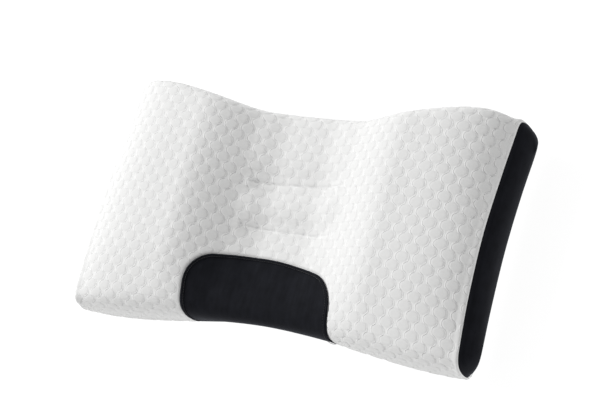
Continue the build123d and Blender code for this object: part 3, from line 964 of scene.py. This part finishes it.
def surface_normals(u, turn):
    """Outward normals of the form at points given by share and turn."""
    step = 1e-3
    along_u = form(u + step, turn) - form(u - step, turn)
    along_turn = form(u, turn + step) - form(u, turn - step)
    n = np.cross(along_turn, along_u)
    return n / np.linalg.norm(n, axis=-1, keepdims=True)


def crease_stitches(name, node, back):
    """The stitches of one sewn line across the valley."""
    x = np.linspace(-BAFFLE_X + 4 * MM, BAFFLE_X - 4 * MM, 200)
    u = x / SEAM_X
    turn = turn_at_y(u, crease_y(back, x))
    normals = surface_normals(u, turn)
    upright = normals * np.array((1.0, 0.0, 1.0))
    path = form(u, turn) - upright * (0.5 * BUBBLE_HEIGHT)
    stitch_line(name, node, path, upright, WHITE_THREAD)


def topstitch():
    """Up the front wall, round the panel's tongue on top, and down the other side."""
    inset = PANEL_SEAM_INSET
    shares, turns = [], []
    edge_x = PANEL_X - inset
    angle = np.linspace(math.pi / 2, 0, 60)
    corner = (PANEL_RADIUS - inset) * np.cos(angle) + PANEL_X - PANEL_RADIUS
    middle = np.linspace(0, PANEL_X - PANEL_RADIUS, 60, endpoint=False)
    half = np.concatenate([middle, corner])
    across = np.concatenate([-half[::-1], half[1:]])
    x = PANEL_MIDDLE_X + across
    u = x / SEAM_X
    turn = turn_at_y(u, panel_edge_y(x, inset))
    for side, index in ((-1, 0), (1, -1)):
        wall_u = np.full(80, (PANEL_MIDDLE_X + side * edge_x) / SEAM_X)
        low = front_seam_turn(wall_u[:1])[0] - 0.06
        wall_turn = np.linspace(turn[index], low, 80)[1:]
        shares.append(wall_u[1:])
        turns.append(wall_turn)
    u = np.concatenate([shares[0][::-1], u, shares[1]])
    turn = np.concatenate([turns[0][::-1], turn, turns[1]])
    u = u + panel_slant(form(u, turn)) / SEAM_X
    normals = surface_normals(u, turn)
    path = form(u, turn) + normals * (panel_lift(np.array([inset]))[0] + 0.1 * MM)
    stitch_line(
        "neck_topstitch_thread", "neck_topstitch", path, normals, BLACK_THREAD
    )


crease_stitches("crease_thread_back", "crease_stitch_back", True)
crease_stitches("crease_thread_front", "crease_stitch_front", False)
topstitch()


# ---------------------------------------------------------------- camera
IMAGE_WIDTH = 612
FOCAL_PIXELS = 1515.0
CAMERA_AZIMUTH, CAMERA_ELEVATION, CAMERA_ROLL = 60.3, 55.6, -48.1
CAMERA_DISTANCE = 2.396
CAMERA_TARGET = Vector((0.0095, 0.0285, EQUATOR_Z))


def place_camera():
    """Looks down on the pillow from the front right, rolled so that it lies on the slant."""
    azimuth, elevation, roll = map(math.radians, (CAMERA_AZIMUTH, CAMERA_ELEVATION, CAMERA_ROLL))
    back = Vector((
        math.sin(azimuth) * math.cos(elevation),
        -math.cos(azimuth) * math.cos(elevation),
        math.sin(elevation),
    ))
    level = Vector((math.cos(azimuth), math.sin(azimuth), 0.0))
    upright = back.cross(level)
    right = math.cos(roll) * level + math.sin(roll) * upright
    up = back.cross(right)
    data = bpy.data.cameras.new("camera")
    data.sensor_width = 36.0
    data.lens = FOCAL_PIXELS / IMAGE_WIDTH * data.sensor_width
    camera = bpy.data.objects.new("camera", data)
    camera.matrix_world = Matrix((
        (right.x, up.x, back.x, 0), (right.y, up.y, back.y, 0), (right.z, up.z, back.z, 0),
        (0, 0, 0, 1),
    ))
    camera.location = CAMERA_TARGET + back * CAMERA_DISTANCE
    bpy.context.scene.collection.objects.link(camera)
    bpy.context.scene.camera = camera


place_camera()


# ---------------------------------------------------------------- floor and light
def add_floor():
    """A flat floor that glows by itself, so that it renders white and shows little shadow."""
    material, shader = new_material("floor", (0.25, 0.25, 0.25), 0.9)
    shader.inputs["Emission Color"].default_value = (1, 1, 1, 1)
    shader.inputs["Emission Strength"].default_value = 0.88
    nodes = Nodes(material)
    place = nodes.add("TexCoord").outputs["Object"]
    faint = nodes.add("TexNoise", Vector=place, Scale=3.0, Detail=2.0).outputs["Fac"]
    tone = nodes.ramp(faint, (0.3, (0.24, 0.24, 0.24)), (0.7, (0.26, 0.26, 0.26)))
    nodes.link(tone, shader.inputs["Base Color"])
    side = 8.0                         # half its width
    mesh = bpy.data.meshes.new("floor")
    corners = [(-side, -side, 0), (side, -side, 0), (side, side, 0), (-side, side, 0)]
    mesh.from_pydata(corners, [], [(0, 1, 2, 3)])
    mesh.materials.append(material)
    floor = bpy.data.objects.new("floor", mesh)
    bpy.context.scene.collection.objects.link(floor)


def add_light(name, direction, distance, size, power):
    """A square soft box that faces the pillow from the given direction."""
    data = bpy.data.lights.new(name, "AREA")
    data.size = size
    data.energy = power
    light = bpy.data.objects.new(name, data)
    away = Vector(direction).normalized()
    light.location = Vector((0, 0, EQUATOR_Z)) + away * distance
    light.rotation_euler = away.to_track_quat("Z", "Y").to_euler()
    bpy.context.scene.collection.objects.link(light)


def add_world(strength):
    """Even white light from all round."""
    world = bpy.data.worlds.new("studio")
    world.use_nodes = True
    background = world.node_tree.nodes["Background"]
    background.inputs["Color"].default_value = (1, 1, 1, 1)
    background.inputs["Strength"].default_value = strength
    bpy.context.scene.world = world


add_floor()
add_light("key", direction=(-0.78, 0.17, 0.60), distance=6.0, size=3.2, power=302)
add_world(strength=0.515)
bpy.context.scene.view_settings.view_transform = "Standard"


# ---------------------------------------------------------------- finishes of the frame's nodes
FINISHES = {
    "zip_tape": TAPE, "zip_teeth": TEETH, "zip_top": TEETH, "zip_bottom": TEETH,
    "zip_slider": METAL, "zip_pull": METAL, "baffle": BAFFLE, "fill": FIBRE,
    "care_label": LABEL, "gusset": SUEDE, "neck_panel": SUEDE, "neck_topstitch": BLACK_THREAD,
    "crease_stitch": WHITE_THREAD, "cover": KNIT,
}
for name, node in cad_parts.items():
    for start, material in FINISHES.items():
        if name.startswith(start):
            node.data.materials.clear()
            node.data.materials.append(material)
